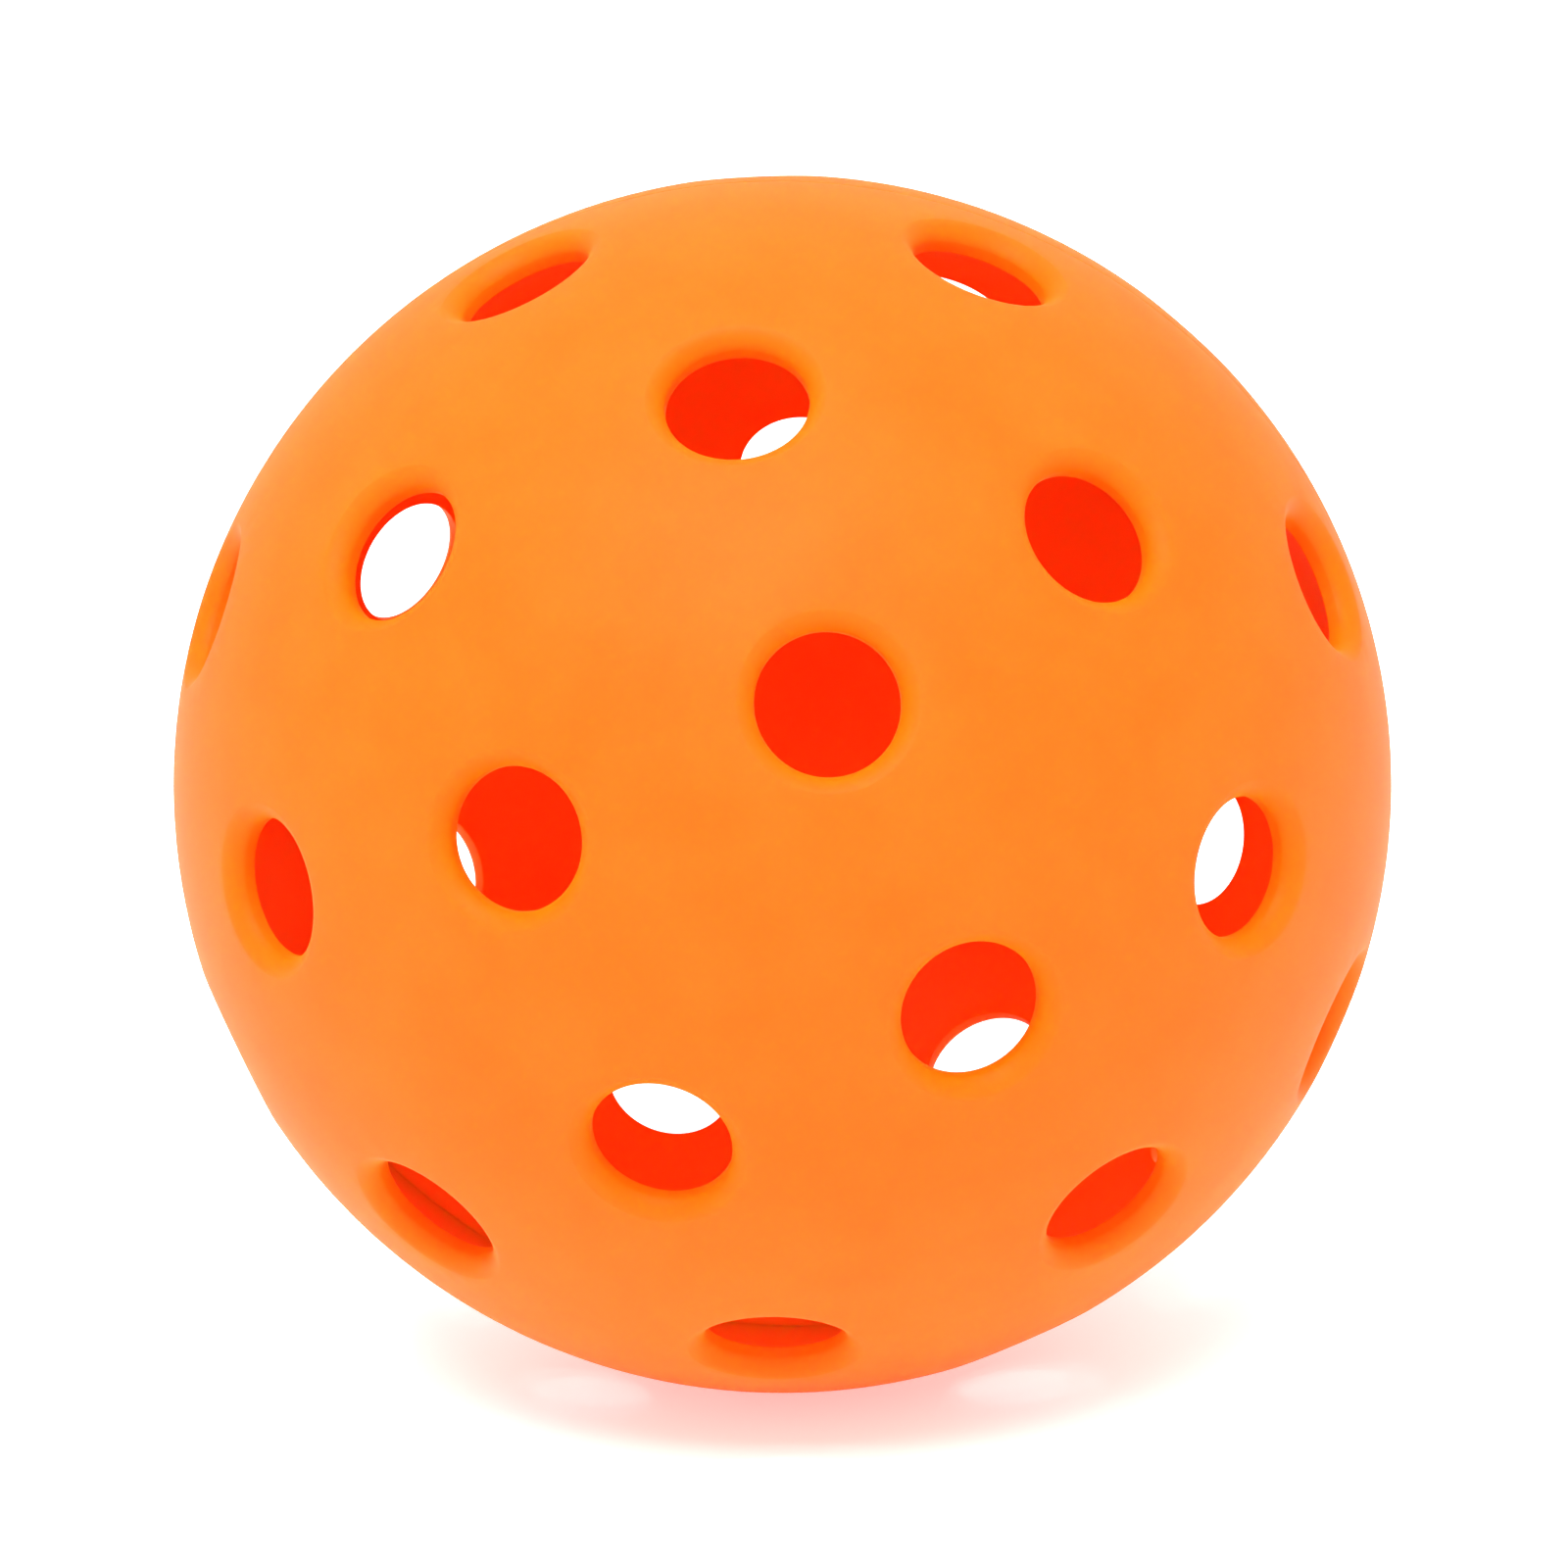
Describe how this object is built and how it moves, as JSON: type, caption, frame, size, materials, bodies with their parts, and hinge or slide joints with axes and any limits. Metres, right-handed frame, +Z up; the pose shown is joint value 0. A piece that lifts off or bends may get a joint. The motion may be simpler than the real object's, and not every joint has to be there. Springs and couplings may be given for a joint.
{
  "type": "pickleball ball",
  "caption": "Hollow perforated plastic ball for paddle play, made as two half shells welded at the equator, with round holes in three rings on each half.",
  "frame": {"origin": "centre of the ball", "axes": "Y is the mould axis, with the front half shell's pole at -Y and the rear half shell's pole at +Y; +Z is up, through a hole of the front half's second ring; +X is to the right of someone who looks at the front pole"},
  "size_m": [0.074, 0.074, 0.074],
  "materials": {
    "orange_plastic": "satin"
  },
  "bodies": {
    "root": {"front_half_shell": "orange_plastic", "rear_half_shell": "orange_plastic"}
  },
  "joints": []
}
